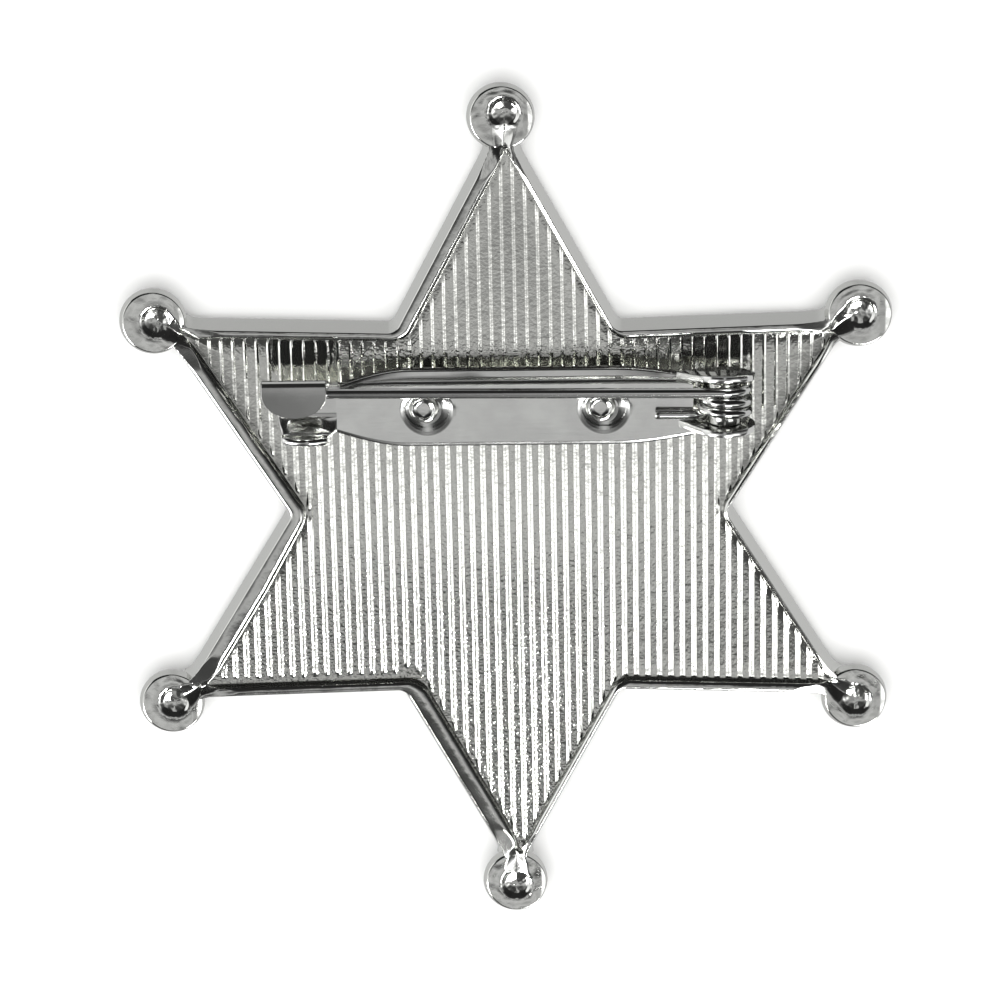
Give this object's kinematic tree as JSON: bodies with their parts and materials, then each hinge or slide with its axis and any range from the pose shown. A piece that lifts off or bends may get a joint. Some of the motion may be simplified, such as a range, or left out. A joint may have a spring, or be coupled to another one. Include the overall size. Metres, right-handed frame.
{
  "type": "sheriff star badge",
  "caption": "Cast metal star badge with ball tips and a ridged back, worn with a riveted bar pin whose spring stem swings out of its catch.",
  "frame": {"origin": "on the surface that the badge lies on, face down, under the middle of its box, which is the middle of the star", "axes": "+Z out of the back of the badge, +Y towards the tip that is uppermost when worn, +X towards the spring end of the bar pin"},
  "size_m": [0.0568, 0.0648, 0.0078],
  "materials": {
    "star_nickel": "bright nickel plate over a zinc casting, with fine casting grain on the ridges",
    "bar_nickel": "smooth bright nickel plate on pressed steel",
    "spring_wire": "drawn spring steel wire, nickel plated"
  },
  "bodies": {
    "badge": {"star_body": "star_nickel", "bar_plate": "bar_nickel", "hinge_rivet": "bar_nickel", "spring_coil": "spring_wire"},
    "pin": {"pin_stem": "spring_wire"}
  },
  "joints": [
    {"name": "pin_swing", "type": "hinge", "parent": "badge", "child": "pin", "pos_m": [0.0161, 0.01043, 0.00555], "axis": [0, 1, 0], "range_deg": [0, 75], "deforming": ["spring_coil"]}
  ]
}
